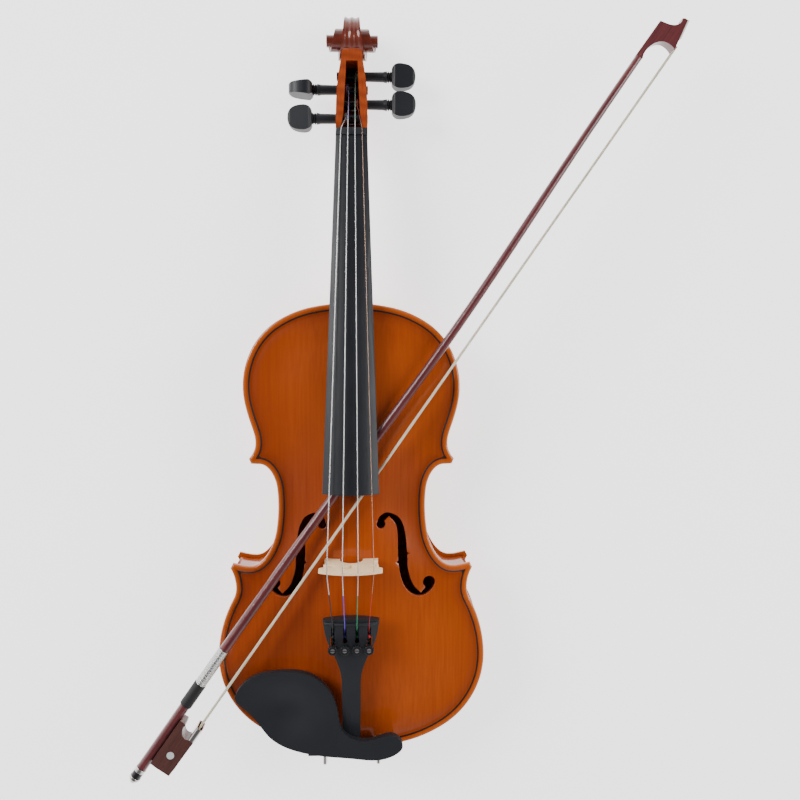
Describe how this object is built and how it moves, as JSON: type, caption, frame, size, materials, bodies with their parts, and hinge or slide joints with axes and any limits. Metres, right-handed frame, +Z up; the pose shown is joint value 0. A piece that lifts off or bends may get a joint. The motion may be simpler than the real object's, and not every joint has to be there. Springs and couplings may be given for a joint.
{
  "type": "violin",
  "caption": "Bowed string instrument lying on its back, with arched hollow body, f-shaped sound holes, pegs, chin rest and a bow pushed under the strings.",
  "frame": {"origin": "lowest point of the back's arch, in the centre plane and halfway along the body", "axes": "+Z up out of the belly, +Y towards the scroll, +X to the treble side"},
  "size_m": [0.4223, 0.5903, 0.0951],
  "materials": {
    "bow_brass": "satin",
    "bow_hair": "satin",
    "bow_ivory": "satin",
    "bow_leather": "matte",
    "bow_pearl": "gloss",
    "bow_silver": "satin",
    "bow_wood": "gloss",
    "bracket_metal": "polished",
    "bridge_maple": "matte",
    "cork": "matte",
    "ebony": "satin",
    "frog_wood": "satin",
    "gut_cord": "matte",
    "plain_spruce": "matte",
    "purfling": "satin",
    "screw_steel": "satin",
    "string_metal": "satin",
    "tailpiece_composite": "matte",
    "tuner_black": "satin",
    "tuner_metal": "polished",
    "varnished_maple": "gloss",
    "varnished_spruce": "gloss"
  },
  "bodies": {
    "violin": {"back": "varnished_maple", "back_linings": "plain_spruce", "bass_bar": "plain_spruce", "belly": "varnished_spruce", "belly_linings": "plain_spruce", "bridge": "bridge_maple", "chinrest_corks": "cork", "chinrest_hooks": "bracket_metal", "chinrest_plate": "ebony", "corner_blocks": "plain_spruce", "endpin": "ebony", "fingerboard": "ebony", "neck_and_scroll": "varnished_maple", "neck_block": "plain_spruce", "nut": "ebony", "purfling_back": "purfling", "purfling_belly": "purfling", "rib_lower_bass": "varnished_maple", "rib_lower_treble": "varnished_maple", "rib_upper_bass": "varnished_maple", "rib_upper_treble": "varnished_maple", "rib_waist_bass": "varnished_maple", "rib_waist_treble": "varnished_maple", "saddle": "ebony", "sound_post": "plain_spruce", "string_a": "string_metal", "string_d": "string_metal", "string_e": "string_metal", "string_g": "string_metal", "tail_block": "plain_spruce", "tailgut": "gut_cord", "tailpiece": "tailpiece_composite", "tuner_hinge_pin": "tuner_metal"},
    "peg_g_turning": {"peg_g": "ebony"},
    "fine_tuner_lever_g": {"tuner_lever_g": "tuner_metal"},
    "fine_tuner_screw_g": {"tuner_screw_g": "tuner_black"},
    "peg_d_turning": {"peg_d": "ebony"},
    "fine_tuner_lever_d": {"tuner_lever_d": "tuner_metal"},
    "fine_tuner_screw_d": {"tuner_screw_d": "tuner_black"},
    "peg_a_turning": {"peg_a": "ebony"},
    "fine_tuner_lever_a": {"tuner_lever_a": "tuner_metal"},
    "fine_tuner_screw_a": {"tuner_screw_a": "tuner_black"},
    "peg_e_turning": {"peg_e": "ebony"},
    "fine_tuner_lever_e": {"tuner_lever_e": "tuner_metal"},
    "fine_tuner_screw_e": {"tuner_screw_e": "tuner_black"},
    "chinrest_clamp": {"chinrest_foot": "bracket_metal", "chinrest_foot_cork": "cork"},
    "clamp_barrel_bass": {"chinrest_barrel_bass": "bracket_metal"},
    "clamp_barrel_treble": {"chinrest_barrel_treble": "bracket_metal"},
    "bow": {"bow_stick": "bow_wood", "bow_tip_plate": "bow_ivory", "bow_hair": "bow_hair", "bow_winding": "bow_silver", "bow_grip": "bow_leather"},
    "frog": {"bow_frog": "frog_wood", "bow_ferrule": "bow_silver", "bow_pearl_inlays": "bow_pearl", "bow_eyelet": "bow_brass"},
    "bow_screw_set": {"bow_screw": "screw_steel", "bow_button": "bow_silver"}
  },
  "joints": [
    {"name": "peg_g_turn", "type": "hinge", "parent": "violin", "child": "peg_g_turning", "pos_m": [-0.012, 0.3196, 0.0326], "axis": [-1, 0, 0], "continuous": true},
    {"name": "peg_d_turn", "type": "hinge", "parent": "violin", "child": "peg_d_turning", "pos_m": [-0.012, 0.3441, 0.0236], "axis": [-1, 0, 0], "continuous": true},
    {"name": "peg_a_turn", "type": "hinge", "parent": "violin", "child": "peg_a_turning", "pos_m": [0.012, 0.3556, 0.02], "axis": [1, 0, 0], "continuous": true},
    {"name": "peg_e_turn", "type": "hinge", "parent": "violin", "child": "peg_e_turning", "pos_m": [0.012, 0.3321, 0.0272], "axis": [1, 0, 0], "continuous": true},
    {"name": "fine_tuner_lever_g_swing", "type": "hinge", "parent": "violin", "child": "fine_tuner_lever_g", "pos_m": [-0.0138, -0.0709, 0.0706], "axis": [1, 0, 0], "range_deg": [0, 8]},
    {"name": "fine_tuner_screw_g_turn", "type": "hinge", "parent": "violin", "child": "fine_tuner_screw_g", "pos_m": [-0.0138, -0.0849, 0.076], "axis": [0, 0, -1], "range_deg": [0, 1404]},
    {"name": "fine_tuner_lever_d_swing", "type": "hinge", "parent": "violin", "child": "fine_tuner_lever_d", "pos_m": [-0.0046, -0.0709, 0.0706], "axis": [1, 0, 0], "range_deg": [0, 8]},
    {"name": "fine_tuner_screw_d_turn", "type": "hinge", "parent": "violin", "child": "fine_tuner_screw_d", "pos_m": [-0.0046, -0.0849, 0.076], "axis": [0, 0, -1], "range_deg": [0, 1404]},
    {"name": "fine_tuner_lever_a_swing", "type": "hinge", "parent": "violin", "child": "fine_tuner_lever_a", "pos_m": [0.0046, -0.0709, 0.0706], "axis": [1, 0, 0], "range_deg": [0, 8]},
    {"name": "fine_tuner_screw_a_turn", "type": "hinge", "parent": "violin", "child": "fine_tuner_screw_a", "pos_m": [0.0046, -0.0849, 0.076], "axis": [0, 0, -1], "range_deg": [0, 1404]},
    {"name": "fine_tuner_lever_e_swing", "type": "hinge", "parent": "violin", "child": "fine_tuner_lever_e", "pos_m": [0.0138, -0.0709, 0.0706], "axis": [1, 0, 0], "range_deg": [0, 8]},
    {"name": "fine_tuner_screw_e_turn", "type": "hinge", "parent": "violin", "child": "fine_tuner_screw_e", "pos_m": [0.0138, -0.0849, 0.076], "axis": [0, 0, -1], "range_deg": [0, 1404]},
    {"name": "chinrest_clamp_open", "type": "slide", "parent": "violin", "child": "chinrest_clamp", "axis": [0, 0, -1], "range_m": [0, 0.004]},
    {"name": "clamp_barrel_bass_turn", "type": "hinge", "parent": "violin", "child": "clamp_barrel_bass", "pos_m": [-0.021, -0.1835, 0.029], "axis": [0, 0, 1], "range_deg": [0, 1028.6]},
    {"name": "clamp_barrel_treble_turn", "type": "hinge", "parent": "violin", "child": "clamp_barrel_treble", "pos_m": [0.021, -0.1835, 0.029], "axis": [0, 0, 1], "range_deg": [0, 1028.6]},
    {"name": "bow_draw_out", "type": "slide", "parent": "violin", "child": "bow", "axis": [-0.5711, -0.8205, 0.026], "range_m": [0, 0.3]},
    {"name": "frog_tighten", "type": "slide", "parent": "bow", "child": "frog", "axis": [-0.5711, -0.8205, 0.026], "range_m": [-0.002, 0.004]},
    {"name": "bow_screw_turn", "type": "hinge", "parent": "bow", "child": "bow_screw_set", "pos_m": [-0.16428, -0.18402, 0.07249], "axis": [-0.5711, -0.8205, 0.026], "range_deg": [-961, 1921]}
  ],
  "couplings": [
    {"joint": "fine_tuner_screw_g_turn", "follows": "fine_tuner_lever_g_swing", "ratio": 175.5},
    {"joint": "fine_tuner_screw_d_turn", "follows": "fine_tuner_lever_d_swing", "ratio": 175.5},
    {"joint": "fine_tuner_screw_a_turn", "follows": "fine_tuner_lever_a_swing", "ratio": 175.5},
    {"joint": "fine_tuner_screw_e_turn", "follows": "fine_tuner_lever_e_swing", "ratio": 175.5},
    {"joint": "clamp_barrel_bass_turn", "follows": "chinrest_clamp_open", "rad_per_m": 4487.5},
    {"joint": "clamp_barrel_treble_turn", "follows": "chinrest_clamp_open", "rad_per_m": 4487.5},
    {"joint": "bow_screw_turn", "follows": "frog_tighten", "rad_per_m": 8377.6}
  ]
}
